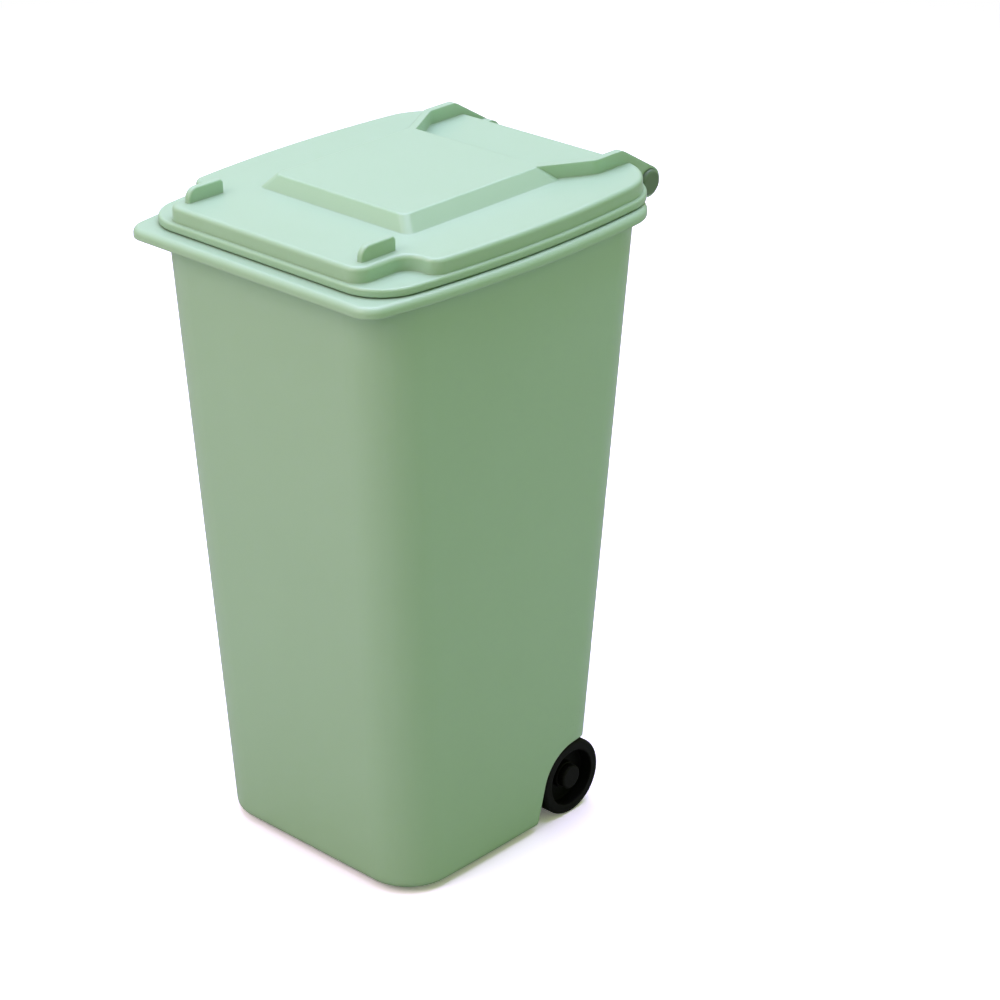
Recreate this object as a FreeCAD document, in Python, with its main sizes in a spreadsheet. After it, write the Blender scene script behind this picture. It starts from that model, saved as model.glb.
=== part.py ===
import FreeCAD
import Part
import math
import os
import Sketcher

# Desktop pen pot in the shape of a wheelie bin: a tapered tub, a hinged lid, and two wheels on an axle.
# Millimetres, +Z up, front towards -Y, X across. The origin is on the floor, under the middle of the whole.

SIZES = {
    # The whole: across the rim, from the rim's front to the back of the hinge, floor to the lid's panel
    "overall_width": 81.0,
    "overall_depth": 101.0,
    "overall_height": 155.0,
    # Every outline bows out sideways, most of all on one line a little in front of the middle
    "side_centre": -1.2,
    # Tub: outline where it meets the base, outline under the rim, wall and floor
    "base_lift": 1.2,
    "base_side_inset": 8.6,
    "base_front_inset": 13.4,
    "base_rear_inset": 13.1,
    "base_corner_radius": 11.4,
    "base_bow": 0.55,
    "base_edge_radius": 1.6,
    "base_edge_share": 0.293,
    "mouth_side_inset": 3.3,
    "mouth_front_inset": 5.0,
    "mouth_rear_inset": 1.4,
    "mouth_corner_radius": 12.3,
    "mouth_bow": 2.2,
    "tub_wall": 1.7,
    "tub_floor": 2.0,
    # Tub rim: a flange with a full round on its upper edge
    "rim_rear_inset": 11.8,
    "rim_thickness": 2.25,
    "rim_bow": 3.7,
    "rim_front_radius": 5.1,
    "rim_rear_radius": 12.6,
    "rim_edge_radius": 1.4,
    # Front feet under the base
    "foot_diameter": 9.0,
    "foot_side_inset": 14.9,
    "foot_setback": 12.0,
    # Hinge: lugs and grab bar on the tub, pins, knuckles on the lid
    "knuckle_radius": 3.5,
    "knuckle_length": 4.0,
    "hinge_drop": 0.85,
    "hinge_side_gap": 0.3,
    "lug_radius": 2.4,
    "lug_thickness": 4.0,
    "lug_depth": 5.2,
    "bar_diameter": 4.4,
    "pin_diameter": 2.4,
    "pin_clearance": 0.05,
    "pin_grip": 3.2,
    "pin_head_diameter": 5.8,
    "pin_head_thickness": 0.7,
    "pin_head_rise": 0.9,
    "pin_head_edge_radius": 0.8,
    "pin_head_clearance": 0.1,
    # Lid: flange, deck with notched front corners, raised panel, ribs and hinge arms
    "lid_gap": 0.3,
    "lid_wall": 1.5,
    "flange_front_inset": 3.9,
    "flange_side_inset": 1.6,
    "flange_rear_overhang": 3.35,
    "flange_thickness": 1.7,
    "flange_bow": 3.8,
    "flange_front_radius": 10.5,
    "flange_rear_radius": 14.9,
    "flange_edge_radius": 0.6,
    "deck_height": 5.1,
    "deck_margin": 0.9,
    "deck_front_margin": 1.0,
    "deck_rear_radius": 14.0,
    "deck_edge_radius": 1.0,
    "notch_width": 9.4,
    "notch_depth": 14.0,
    "notch_round_share": 0.42,
    "shoulder_round_share": 0.34,
    "tongue_corner_radius": 3.6,
    "panel_height": 3.2,
    "panel_side_margin": 15.7,
    "panel_front_margin": 20.6,
    "panel_rear_margin": 19.2,
    "panel_front_run": 2.0,
    "panel_side_run": 3.1,
    "panel_rear_run": 3.3,
    "panel_corner_radius": 2.0,
    "panel_edge_radius": 0.6,
    "panel_inner_inset": 0.6,
    "rib_thickness": 1.5,
    "rib_side_margin": 3.1,
    "rib_front_margin": 3.4,
    "rib_length": 9.8,
    "rib_nose_radius": 2.4,
    "rib_tail_radius": 1.2,
    "rib_edge_radius": 0.4,
    "arm_thickness": 1.7,
    "arm_side_inset": 14.7,
    "arm_root_inset": 1.0,
    "arm_root_depth": 2.7,
    "arm_bend_radius": 4.0,
    "arm_bend_setback": 10.7,
    "arm_crest_radius": 3.0,
    "arm_crest_setback": 4.0,
    # Wheels and axle
    "wheel_diameter": 18.6,
    "wheel_width": 8.0,
    "wheel_inset": 0.3,
    "wheel_edge_radius": 0.9,
    "wheel_tread_thickness": 2.4,
    "wheel_web_depth": 1.9,
    "wheel_hub_diameter": 6.4,
    "wheel_bore_clearance": 0.08,
    "wheel_end_play": 0.3,
    "axle_setback": 9.0,
    "axle_diameter": 3.4,
    "axle_seat_clearance": 0.02,
    "channel_throat": 2.9,
    "arch_clearance": 0.7,
    "arch_side_gap": 0.7,
    "arch_toe_reach": 13.0,
    "arch_exit_height": 13.8,
    "cap_diameter": 5.8,
    "cap_thickness": 1.5,
    "cap_edge_radius": 0.5,
    # How far cutting shapes run past what they cut
    "overrun": 3.0,
}

PLACES = {
    "half_width": "Sizes.overall_width / 2",
    "rim_front": "-Sizes.overall_depth / 2",
    "rim_rear": "Sizes.overall_depth / 2 - Sizes.rim_rear_inset",
    "rim_half_depth": "(rim_rear - rim_front) / 2",
    "deck_top": "Sizes.overall_height - Sizes.panel_height",
    "flange_bottom": "deck_top - Sizes.deck_height",
    "rim_top": "flange_bottom - Sizes.lid_gap",
    "rim_bottom": "rim_top - Sizes.rim_thickness",
    "rim_side_radius": "rim_half_depth ^ 2 / (2 * Sizes.rim_bow) + Sizes.rim_bow / 2",
    # Tub outlines, outside and inside
    "mouth_half_width": "half_width - Sizes.mouth_side_inset",
    "mouth_front": "rim_front + Sizes.mouth_front_inset",
    "mouth_rear": "rim_rear - Sizes.mouth_rear_inset",
    "mouth_half_depth": "(mouth_rear - mouth_front) / 2",
    "mouth_side_radius": "mouth_half_depth ^ 2 / (2 * Sizes.mouth_bow) + Sizes.mouth_bow / 2",
    "base_half_width": "half_width - Sizes.base_side_inset",
    "base_front": "rim_front + Sizes.base_front_inset",
    "base_rear": "rim_rear - Sizes.base_rear_inset",
    "base_half_depth": "(base_rear - base_front) / 2",
    "base_side_radius": "base_half_depth ^ 2 / (2 * Sizes.base_bow) + Sizes.base_bow / 2",
    "base_shoulder": "Sizes.base_lift + Sizes.base_edge_radius",
    "base_mid_inset": "Sizes.base_edge_radius * Sizes.base_edge_share",
    "base_mid": "Sizes.base_lift + base_mid_inset",
    "base_mid_half_width": "base_half_width - base_mid_inset",
    "base_mid_front": "base_front + base_mid_inset",
    "base_mid_rear": "base_rear - base_mid_inset",
    "base_mid_corner": "Sizes.base_corner_radius - base_mid_inset",
    "base_mid_side": "base_side_radius - base_mid_inset",
    "base_sole_half_width": "base_half_width - Sizes.base_edge_radius",
    "base_sole_front": "base_front + Sizes.base_edge_radius",
    "base_sole_rear": "base_rear - Sizes.base_edge_radius",
    "base_sole_corner": "Sizes.base_corner_radius - Sizes.base_edge_radius",
    "base_sole_side": "base_side_radius - Sizes.base_edge_radius",
    "floor_top": "Sizes.base_lift + Sizes.tub_floor",
    "inner_mouth_half_width": "mouth_half_width - Sizes.tub_wall",
    "inner_mouth_front": "mouth_front + Sizes.tub_wall",
    "inner_mouth_rear": "mouth_rear - Sizes.tub_wall",
    "inner_mouth_corner": "Sizes.mouth_corner_radius - Sizes.tub_wall",
    "inner_mouth_side": "mouth_side_radius - Sizes.tub_wall",
    "inner_base_half_width": "base_half_width - Sizes.tub_wall",
    "inner_base_front": "base_front + Sizes.tub_wall",
    "inner_base_rear": "base_rear - Sizes.tub_wall",
    "inner_base_corner": "Sizes.base_corner_radius - Sizes.tub_wall",
    "inner_base_side": "base_side_radius - Sizes.tub_wall",
    # Feet
    "foot_right": "base_half_width - Sizes.foot_side_inset",
    "foot_left": "-foot_right",
    "foot_radius": "Sizes.foot_diameter / 2",
    "foot_y": "base_front + Sizes.foot_setback",
    "foot_height": "floor_top - Sizes.tub_floor / 2",
    # Hinge
    "hinge_y": "Sizes.overall_depth / 2 - Sizes.knuckle_radius",
    "hinge_z": "rim_top - Sizes.hinge_drop",
    "arm_outside": "half_width - Sizes.arm_side_inset",
    "arm_inside": "arm_outside - Sizes.arm_thickness",
    "knuckle_inside": "arm_outside - Sizes.knuckle_length",
    "lug_outside": "knuckle_inside - Sizes.hinge_side_gap",
    "lug_inside": "lug_outside - Sizes.lug_thickness",
    "lug_root": "mouth_rear - Sizes.tub_wall / 2",
    "lug_foot": "rim_top - Sizes.lug_depth",
    "bar_length": "2 * lug_inside + Sizes.lug_thickness",
    "bar_radius": "Sizes.bar_diameter / 2",
    "pin_radius": "Sizes.pin_diameter / 2",
    "pin_hole_radius": "pin_radius + Sizes.pin_clearance",
    "pin_head_radius": "Sizes.pin_head_diameter / 2",
    "pin_seat_radius": "pin_head_radius + Sizes.pin_head_clearance",
    "pin_head_inside": "arm_outside - Sizes.pin_head_thickness",
    "pin_crown": "arm_outside + Sizes.pin_head_rise",
    "pin_seat_inside": "pin_head_inside - Sizes.pin_head_clearance",
    "pin_tip": "lug_outside - Sizes.pin_grip",
    "pin_hole_depth": "Sizes.pin_grip + Sizes.hinge_side_gap",
    # Lid outlines
    "flange_half_width": "half_width - Sizes.flange_side_inset",
    "flange_front": "rim_front + Sizes.flange_front_inset",
    "flange_rear": "rim_rear + Sizes.flange_rear_overhang",
    "flange_half_depth": "(flange_rear - flange_front) / 2",
    "flange_top": "flange_bottom + Sizes.flange_thickness",
    "flange_side_radius": "flange_half_depth ^ 2 / (2 * Sizes.flange_bow) + Sizes.flange_bow / 2",
    "deck_half_width": "flange_half_width - Sizes.deck_margin",
    "deck_front": "flange_front + Sizes.deck_front_margin",
    "deck_rear": "flange_rear - Sizes.deck_margin",
    "deck_side_radius": "flange_side_radius - Sizes.deck_margin",
    "tongue_half_width": "deck_half_width - Sizes.notch_width",
    "shoulder_front": "deck_front + Sizes.notch_depth",
    "notch_radius": "Sizes.notch_width * Sizes.notch_round_share",
    "shoulder_radius": "Sizes.notch_width * Sizes.shoulder_round_share",
    "panel_half_width": "deck_half_width - Sizes.panel_side_margin",
    "panel_front": "deck_front + Sizes.panel_front_margin",
    "panel_rear": "deck_rear - Sizes.panel_rear_margin",
    "panel_top_half_width": "panel_half_width - Sizes.panel_side_run",
    "panel_top_front": "panel_front + Sizes.panel_front_run",
    "panel_top_rear": "panel_rear - Sizes.panel_rear_run",
    # The hollow under the lid, in three steps: under the deck, under its tongue, under the panel
    "hollow_height": "Sizes.deck_height - Sizes.lid_wall",
    "hollow_half_width": "deck_half_width - Sizes.lid_wall",
    "hollow_side_radius": "deck_side_radius - Sizes.lid_wall",
    "hollow_front": "shoulder_front + Sizes.lid_wall",
    "hollow_rear": "deck_rear - Sizes.lid_wall",
    "hollow_front_radius": "shoulder_radius - Sizes.lid_wall",
    "hollow_rear_radius": "Sizes.deck_rear_radius - Sizes.lid_wall",
    "tongue_hollow_half_width": "tongue_half_width - Sizes.lid_wall",
    "tongue_hollow_front": "deck_front + Sizes.lid_wall",
    "tongue_hollow_rear": "hollow_front + shoulder_radius",
    "tongue_hollow_radius": "Sizes.tongue_corner_radius - Sizes.lid_wall",
    "panel_hollow_foot": "deck_top - Sizes.lid_wall",
    "panel_hollow_top": "Sizes.overall_height - Sizes.lid_wall",
    "panel_hollow_half_width": "panel_half_width - Sizes.panel_inner_inset",
    "panel_hollow_front": "panel_front + Sizes.panel_inner_inset",
    "panel_hollow_rear": "panel_rear - Sizes.panel_inner_inset",
    "panel_hollow_top_half_width": "panel_top_half_width - Sizes.panel_inner_inset",
    "panel_hollow_top_front": "panel_top_front + Sizes.panel_inner_inset",
    "panel_hollow_top_rear": "panel_top_rear - Sizes.panel_inner_inset",
    "panel_hollow_radius": "Sizes.panel_corner_radius - Sizes.panel_inner_inset",
    # Ribs and arms of the lid, sunk into the deck by half its wall
    "rib_inside": "tongue_half_width - Sizes.rib_side_margin - Sizes.rib_thickness / 2",
    "rib_front": "deck_front + Sizes.rib_front_margin",
    "rib_rear": "rib_front + Sizes.rib_length",
    "raised_foot": "deck_top - Sizes.lid_wall / 2",
    "raised_height": "Sizes.overall_height - raised_foot",
    "rib_nose_y": "rib_front + Sizes.rib_nose_radius",
    "rib_nose_z": "Sizes.overall_height - Sizes.rib_nose_radius",
    "rib_tail_y": "rib_rear - Sizes.rib_tail_radius",
    "rib_tail_z": "Sizes.overall_height - Sizes.rib_tail_radius",
    "arm_root_x": "panel_top_half_width - Sizes.arm_root_inset",
    "arm_root_y": "panel_top_rear - Sizes.arm_root_depth",
    "arm_bend_x": "arm_outside - Sizes.arm_bend_radius",
    "arm_bend_y": "deck_rear - Sizes.arm_bend_setback",
    "arm_inner_radius": "Sizes.arm_bend_radius - Sizes.arm_thickness",
    "arm_crest_y": "deck_rear - Sizes.arm_crest_setback",
    "arm_crest_z": "Sizes.overall_height - Sizes.arm_crest_radius",
    "hook_root": "arm_crest_y - Sizes.arm_thickness",
    "hook_heel_y": "deck_rear - Sizes.lid_wall / 2",
    "hook_heel_z": "flange_bottom + Sizes.lid_wall",
    # Wheels, arches and axle
    "axle_radius": "Sizes.axle_diameter / 2",
    "wheel_radius": "Sizes.wheel_diameter / 2",
    "wheel_outside": "base_half_width - Sizes.wheel_inset",
    "wheel_inside": "wheel_outside - Sizes.wheel_width",
    "wheel_web_outside": "wheel_outside - Sizes.wheel_web_depth - Sizes.cap_thickness",
    "wheel_web_inside": "wheel_inside + Sizes.wheel_web_depth",
    "wheel_hub_outside": "wheel_outside - Sizes.cap_thickness - Sizes.wheel_end_play",
    "wheel_hub_inside": "wheel_inside - Sizes.arch_side_gap / 2",
    "wheel_hub_radius": "Sizes.wheel_hub_diameter / 2",
    "wheel_dish_radius": "wheel_radius - Sizes.wheel_tread_thickness",
    "wheel_bore_radius": "axle_radius + Sizes.wheel_bore_clearance",
    "axle_y": "base_rear - Sizes.axle_setback",
    "axle_z": "wheel_radius",
    "axle_tip": "wheel_outside - Sizes.cap_thickness / 2",
    "axle_length": "2 * axle_tip",
    "axle_start": "-axle_tip",
    "channel_radius": "axle_radius + Sizes.axle_seat_clearance",
    "throat_half": "Sizes.channel_throat / 2",
    "throat_front": "axle_y - throat_half",
    "throat_rear": "axle_y + throat_half",
    "hump_radius": "channel_radius + Sizes.tub_wall",
    "arch_inside": "wheel_inside - Sizes.arch_side_gap",
    "arch_radius": "wheel_radius + Sizes.arch_clearance",
    "arch_toe": "axle_y - Sizes.arch_toe_reach",
    "arch_exit_y": "base_rear + Sizes.overrun",
    "arch_exit_z": "Sizes.arch_exit_height",
    "arch_depth": "half_width - arch_inside",
    "bump_inside": "arch_inside - Sizes.tub_wall",
    "bump_radius": "arch_radius + Sizes.tub_wall",
    "bump_toe": "arch_toe - Sizes.tub_wall",
    "bump_exit_z": "arch_exit_z + Sizes.tub_wall",
    "bump_depth": "half_width - bump_inside",
    "below_floor": "-Sizes.overrun",
    "cap_radius": "Sizes.cap_diameter / 2",
    "cap_inside": "wheel_outside - Sizes.cap_thickness",
    "on_axis": "0",
}

START, END, CENTRE = range(1, 4)
LEVEL_AXIS, UPRIGHT_AXIS = range(-1, -3, -1)
ORIGIN = (LEVEL_AXIS, START)
NORMAL = FreeCAD.Vector(0, 0, 1)

doc = FreeCAD.newDocument("desktop_bin")


def fill_sheet(name, rows):
    """Adds a sheet with one named cell for each row."""
    sheet = doc.addObject("Spreadsheet::Sheet", name)
    for row, (alias, content) in enumerate(rows.items(), start=1):
        sheet.set(f"A{row}", alias)
        sheet.set(f"B{row}", content)
        sheet.setAlias(f"B{row}", alias)
    return sheet


sizes = fill_sheet("Sizes", {alias: str(length) for alias, length in SIZES.items()})
doc.recompute()
places = fill_sheet("Places", {alias: "=" + formula for alias, formula in PLACES.items()})
doc.recompute()


def cell(alias):
    """The expression that names a size or place."""
    return f"Sizes.{alias}" if alias in SIZES else f"Places.{alias}"


def number(alias):
    """The present value of a size or place."""
    return float((sizes if alias in SIZES else places).get(alias))


def point(across, along):
    return FreeCAD.Vector(across, along, 0)


def touch_point(outside, centre, radius, turn):
    """Where a line from a point outside touches a circle, on the side given by turn (+1 or -1)."""
    away = outside - centre
    angle = math.atan2(away.y, away.x) + turn * math.acos(radius / away.Length)
    return centre + point(radius * math.cos(angle), radius * math.sin(angle))


def outer_touches(first, first_radius, second, second_radius):
    """Where a line along the left of two circles, seen from the first to the second, touches each."""
    between = second - first
    angle = math.atan2(between.y, between.x) + math.acos((first_radius - second_radius) / between.Length)
    normal = point(math.cos(angle), math.sin(angle))
    return first + normal * first_radius, second + normal * second_radius


class Profile:
    """A closed chain of lines and arcs on one plane of a body, dimensioned from the sheets."""

    def __init__(self, body, plane, name, offset=None):
        self.sketch = body.newObject("Sketcher::SketchObject", name)
        support = next(item for item in body.Origin.OriginFeatures if item.Role == plane)
        self.sketch.AttachmentSupport = [(support, "")]
        self.sketch.MapMode = "FlatFace"
        if offset:
            self.sketch.setExpression("AttachmentOffset.Base.z", cell(offset))
        self.links = []

    def line(self, start, end):
        index = self.sketch.addGeometry(Part.LineSegment(start, end))
        self.links.append((index, START, END))
        return index

    def arc(self, centre, start, end, clockwise=False):
        first, last = (end, start) if clockwise else (start, end)
        low = math.atan2(first.y - centre.y, first.x - centre.x)
        high = math.atan2(last.y - centre.y, last.x - centre.x)
        if high <= low:
            high += 2 * math.pi
        circle = Part.Circle(centre, NORMAL, (start - centre).Length)
        index = self.sketch.addGeometry(Part.ArcOfCircle(circle, low, high))
        self.links.append((index, END, START) if clockwise else (index, START, END))
        return index

    def close(self, sharp=()):
        """Joins each link to the next one: tangent, or only meeting after the links in sharp."""
        following = self.links[1:] + self.links[:1]
        for (index, _, end), (other, start, _) in zip(self.links, following):
            kind = "Coincident" if index in sharp else "Tangent"
            self.sketch.addConstraint(Sketcher.Constraint(kind, index, end, other, start))

    def bind(self, kind, references, alias):
        made = self.sketch.addConstraint(Sketcher.Constraint(kind, *references, number(alias)))
        self.sketch.setExpression(f"Constraints[{made}]", cell(alias))

    def place(self, index, position, across=None, along=None):
        if across:
            self.bind("DistanceX", (*ORIGIN, index, position), across)
        if along:
            self.bind("DistanceY", (*ORIGIN, index, position), along)

    def radius(self, index, alias):
        self.bind("Radius", (index,), alias)

    def mirrored_ends(self, index):
        mirror = Sketcher.Constraint("Symmetric", index, START, index, END, UPRIGHT_AXIS)
        self.sketch.addConstraint(mirror)

    def circle(self, across, along, radius):
        """A separate circle, placed and sized by name."""
        centre = point(number(across), number(along))
        index = self.sketch.addGeometry(Part.Circle(centre, NORMAL, number(radius)))
        self.place(index, CENTRE, across, along)
        self.radius(index, radius)

    def polygon(self, corners):
        """Straight lines through named corners."""
        vertices = [point(number(across), number(along)) for across, along in corners]
        for start, end in zip(vertices, vertices[1:] + vertices[:1]):
            self.line(start, end)
        self.close(sharp=range(len(corners)))
        for index, (across, along) in enumerate(corners):
            self.place(index, START, across, along)


def side_touch(half_width, side_radius, side_centre, corner_radius, corner_y):
    """Centre of a right-hand corner arc against the bowed side, and the point where the two touch."""
    side = point(half_width - side_radius, side_centre)
    reach = side_radius - corner_radius
    corner = point(side.x + math.sqrt(reach ** 2 - (corner_y - side_centre) ** 2), corner_y)
    return corner, side + (corner - side) * (side_radius / reach)


def mirror(vector):
    return point(-vector.x, vector.y)


def bowed_outline(profile, half_width, side_radius, side_centre, front, rear, front_radius, rear_radius):
    """Straight front and rear, rounded corners, and sides that bow out as one large arc each."""
    side = point(number(half_width) - number(side_radius), number(side_centre))
    bow = (number(half_width), number(side_radius), number(side_centre))
    low, low_touch = side_touch(*bow, number(front_radius), number(front) + number(front_radius))
    high, high_touch = side_touch(*bow, number(rear_radius), number(rear) - number(rear_radius))
    front_end = point(low.x, number(front))
    rear_end = point(high.x, number(rear))
    front_line = profile.line(mirror(front_end), front_end)
    front_right = profile.arc(low, front_end, low_touch)
    right = profile.arc(side, low_touch, high_touch)
    rear_right = profile.arc(high, high_touch, rear_end)
    rear_line = profile.line(rear_end, mirror(rear_end))
    rear_left = profile.arc(mirror(high), mirror(rear_end), mirror(high_touch))
    left = profile.arc(mirror(side), mirror(high_touch), mirror(low_touch))
    front_left = profile.arc(mirror(low), mirror(low_touch), mirror(front_end))
    profile.close()
    finish_outline(profile, front_line, rear_line, (right, left), half_width, side_radius, side_centre)
    profile.place(front_line, START, along=front)
    profile.place(rear_line, START, along=rear)
    for index in (front_right, front_left):
        profile.radius(index, front_radius)
    for index in (rear_right, rear_left):
        profile.radius(index, rear_radius)


def finish_outline(profile, front_line, rear_line, sides, half_width, side_radius, side_centre):
    """Makes an outline symmetric, and sets the arcs that its two sides lie on."""
    right, left = sides
    profile.mirrored_ends(front_line)
    profile.mirrored_ends(rear_line)
    for index in sides:
        profile.radius(index, side_radius)
    setback = number(side_radius) - number(half_width)
    made = profile.sketch.addConstraint(Sketcher.Constraint("DistanceX", right, CENTRE, *ORIGIN, setback))
    profile.sketch.setExpression(f"Constraints[{made}]", f"{cell(side_radius)} - {cell(half_width)}")
    profile.place(right, CENTRE, along=side_centre)


def notched_outline(profile):
    """The lid's deck: a bowed outline whose front corners are cut back in a soft step."""
    bow = (number("deck_half_width"), number("deck_side_radius"), number("side_centre"))
    side = point(bow[0] - bow[1], bow[2])
    tongue, nose = number("tongue_half_width"), number("tongue_corner_radius")
    hollow, shoulder = number("notch_radius"), number("shoulder_radius")
    front, step, rear = number("deck_front"), number("shoulder_front"), number("deck_rear")
    low, low_touch = side_touch(*bow, shoulder, step + shoulder)
    high, high_touch = side_touch(*bow, number("deck_rear_radius"), rear - number("deck_rear_radius"))
    nose_centre = point(tongue - nose, front + nose)
    hollow_centre = point(tongue + hollow, step - hollow)
    front_end = point(nose_centre.x, front)
    nose_end = point(tongue, nose_centre.y)
    hollow_start = point(tongue, hollow_centre.y)
    hollow_end = point(hollow_centre.x, step)
    shoulder_start = point(low.x, step)
    rear_end = point(high.x, rear)
    front_line = profile.line(mirror(front_end), front_end)
    nose_right = profile.arc(nose_centre, front_end, nose_end)
    cheek_right = profile.line(nose_end, hollow_start)
    hollow_right = profile.arc(hollow_centre, hollow_start, hollow_end, clockwise=True)
    step_right = profile.line(hollow_end, shoulder_start)
    shoulder_right = profile.arc(low, shoulder_start, low_touch)
    right = profile.arc(side, low_touch, high_touch)
    rear_right = profile.arc(high, high_touch, rear_end)
    rear_line = profile.line(rear_end, mirror(rear_end))
    rear_left = profile.arc(mirror(high), mirror(rear_end), mirror(high_touch))
    left = profile.arc(mirror(side), mirror(high_touch), mirror(low_touch))
    shoulder_left = profile.arc(mirror(low), mirror(low_touch), mirror(shoulder_start))
    step_left = profile.line(mirror(shoulder_start), mirror(hollow_end))
    hollow_left = profile.arc(mirror(hollow_centre), mirror(hollow_end), mirror(hollow_start), clockwise=True)
    cheek_left = profile.line(mirror(hollow_start), mirror(nose_end))
    nose_left = profile.arc(mirror(nose_centre), mirror(nose_end), mirror(front_end))
    profile.close()
    finish_outline(profile, front_line, rear_line, (right, left),
                   "deck_half_width", "deck_side_radius", "side_centre")
    profile.place(front_line, START, along="deck_front")
    profile.place(rear_line, START, along="deck_rear")
    profile.place(cheek_right, START, across="tongue_half_width")
    profile.place(left, CENTRE, along="side_centre")
    for index in (step_right, step_left):
        profile.place(index, START, along="shoulder_front")
        profile.sketch.addConstraint(Sketcher.Constraint("Horizontal", index))
    for index in (cheek_right, cheek_left):
        profile.sketch.addConstraint(Sketcher.Constraint("Vertical", index))
    for pair, alias in (((nose_right, nose_left), "tongue_corner_radius"),
                        ((hollow_right, hollow_left), "notch_radius"),
                        ((shoulder_right, shoulder_left), "shoulder_radius"),
                        ((rear_right, rear_left), "deck_rear_radius")):
        for index in pair:
            profile.radius(index, alias)


def arch_outline(profile, radius, toe, exit_z):
    """A wheel arch seen from the side: round over the wheel, open below, and running out to the rear."""
    centre = point(number("axle_y"), number("axle_z"))
    toe_end = point(number(toe), number("below_floor"))
    exit_low = point(number("arch_exit_y"), number("below_floor"))
    exit_high = point(number("arch_exit_y"), number(exit_z))
    rear_touch = touch_point(exit_high, centre, number(radius), 1)
    front_touch = touch_point(toe_end, centre, number(radius), -1)
    ground = profile.line(toe_end, exit_low)
    back = profile.line(exit_low, exit_high)
    slope = profile.line(exit_high, rear_touch)
    crown = profile.arc(centre, rear_touch, front_touch)
    leg = profile.line(front_touch, toe_end)
    profile.close(sharp=(ground, back, leg))
    profile.place(ground, START, toe, "below_floor")
    profile.place(back, START, "arch_exit_y", "below_floor")
    profile.place(slope, START, "arch_exit_y", exit_z)
    profile.place(crown, CENTRE, "axle_y", "axle_z")
    profile.radius(crown, radius)


def keyhole_outline(profile, radius, front, rear):
    """A round seat for the axle with a straight throat down through the base."""
    centre = point(number("axle_y"), number("axle_z"))
    half = number(rear) - centre.x
    mouth_z = centre.y - math.sqrt(max(number(radius) ** 2 - half ** 2, 0))
    ground = profile.line(point(number(front), number("below_floor")), point(number(rear), number("below_floor")))
    back = profile.line(point(number(rear), number("below_floor")), point(number(rear), mouth_z))
    seat = profile.arc(centre, point(number(rear), mouth_z), point(number(front), mouth_z))
    fore = profile.line(point(number(front), mouth_z), point(number(front), number("below_floor")))
    profile.close(sharp=(ground, back, seat, fore))
    profile.place(ground, START, front, "below_floor")
    profile.place(ground, END, rear, "below_floor")
    for index in (back, fore):
        profile.sketch.addConstraint(Sketcher.Constraint("Vertical", index))
    profile.place(seat, CENTRE, "axle_y", "axle_z")
    profile.radius(seat, radius)


def tunnel_outline(profile):
    """The hump over the axle channel, inside the tub."""
    centre = point(number("axle_y"), number("axle_z"))
    front, rear = centre.x - number("hump_radius"), centre.x + number("hump_radius")
    ground = profile.line(point(front, number("below_floor")), point(rear, number("below_floor")))
    back = profile.line(point(rear, number("below_floor")), point(rear, centre.y))
    crown = profile.arc(centre, point(rear, centre.y), point(front, centre.y))
    fore = profile.line(point(front, centre.y), point(front, number("below_floor")))
    profile.close(sharp=(ground, fore))
    profile.place(ground, START, along="below_floor")
    profile.place(ground, END, along="below_floor")
    profile.place(crown, CENTRE, "axle_y", "axle_z")
    profile.radius(crown, "hump_radius")
    profile.sketch.addConstraint(Sketcher.Constraint("Vertical", fore))
    profile.sketch.addConstraint(Sketcher.Constraint("Vertical", back))


def lug_outline(profile):
    """A hinge lug seen from the side: an eye round the pin, carried by a web from under the rim."""
    eye = point(number("hinge_y"), number("hinge_z"))
    root_high = point(number("lug_root"), number("rim_top"))
    root_low = point(number("lug_root"), number("lug_foot"))
    low_touch = touch_point(root_low, eye, number("lug_radius"), 1)
    top_z = number("rim_top")
    top_end = point(eye.x - math.sqrt(number("lug_radius") ** 2 - (top_z - eye.y) ** 2), top_z)
    root = profile.line(root_high, root_low)
    profile.line(root_low, low_touch)
    around = profile.arc(eye, low_touch, top_end)
    top = profile.line(top_end, root_high)
    profile.close(sharp=(root, around, top))
    profile.place(root, START, "lug_root", "rim_top")
    profile.place(root, END, "lug_root", "lug_foot")
    profile.place(around, CENTRE, "hinge_y", "hinge_z")
    profile.radius(around, "lug_radius")
    profile.sketch.addConstraint(Sketcher.Constraint("Horizontal", top))


def hook_outline(profile):
    """A hinge arm seen from the side: level along the deck, then in a soft bend down to the knuckle."""
    eye = point(number("hinge_y"), number("hinge_z"))
    bow = point(number("arm_crest_y"), number("arm_crest_z"))
    root_low = point(number("hook_root"), number("raised_foot"))
    root_high = point(number("hook_root"), number("overall_height"))
    crest_start = point(bow.x, number("overall_height"))
    crest_end, high_touch = outer_touches(bow, number("arm_crest_radius"), eye, number("knuckle_radius"))
    heel = point(number("hook_heel_y"), number("hook_heel_z"))
    low_touch = touch_point(heel, eye, number("knuckle_radius"), 1)
    sole = profile.line(heel, low_touch)
    around = profile.arc(eye, low_touch, high_touch)
    profile.line(high_touch, crest_end)
    crest = profile.arc(bow, crest_end, crest_start)
    level = profile.line(crest_start, root_high)
    back = profile.line(root_high, root_low)
    seat = profile.line(root_low, heel)
    profile.close(sharp=(level, back, seat))
    profile.place(sole, START, "hook_heel_y", "hook_heel_z")
    profile.place(around, CENTRE, "hinge_y", "hinge_z")
    profile.radius(around, "knuckle_radius")
    profile.place(crest, CENTRE, "arm_crest_y", "arm_crest_z")
    profile.radius(crest, "arm_crest_radius")
    profile.place(back, START, across="hook_root")
    profile.sketch.addConstraint(Sketcher.Constraint("Horizontal", level))
    profile.place(seat, START, "hook_root", "raised_foot")


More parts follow.
